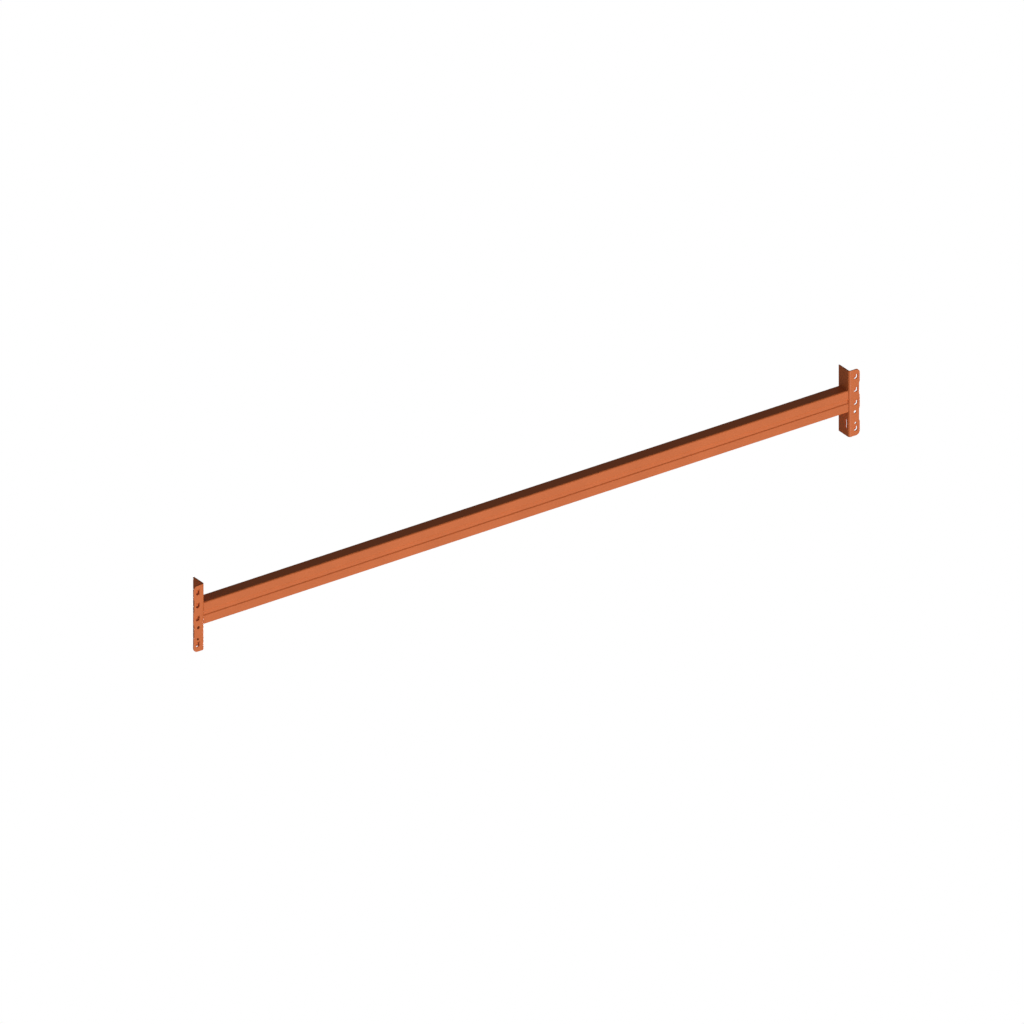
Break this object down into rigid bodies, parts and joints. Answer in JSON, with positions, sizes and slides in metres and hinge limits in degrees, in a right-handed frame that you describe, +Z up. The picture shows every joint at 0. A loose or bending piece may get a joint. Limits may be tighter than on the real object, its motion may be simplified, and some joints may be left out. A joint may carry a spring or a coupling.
{
  "type": "pallet rack beam",
  "caption": "Box beam of two nested grooved channels, welded between two folded end connectors with pressed hooks, for hanging between pallet rack uprights.",
  "frame": {"origin": "under the middle of the beam, at the middle of its depth, on the plane of the connectors' lower edges", "axes": "+X along the beam to the right-hand connector, +Y to the back of the rack's front face, +Z up"},
  "size_m": [2.7816, 0.062, 0.2545],
  "materials": {
    "beam_paint": "orange powder coat on rolled steel, satin with a fine orange peel",
    "connector_paint": "orange powder coat on pressed steel plate, satin with a fine orange peel",
    "weld_paint": "orange powder coat over a rippled weld bead"
  },
  "bodies": {
    "root": {"front_channel": "beam_paint", "rear_channel": "beam_paint", "left_connector": "connector_paint", "right_connector": "connector_paint", "left_front_weld": "weld_paint", "left_rear_weld": "weld_paint", "left_top_weld": "weld_paint", "left_bottom_weld": "weld_paint", "right_front_weld": "weld_paint", "right_rear_weld": "weld_paint", "right_top_weld": "weld_paint", "right_bottom_weld": "weld_paint"}
  },
  "joints": []
}
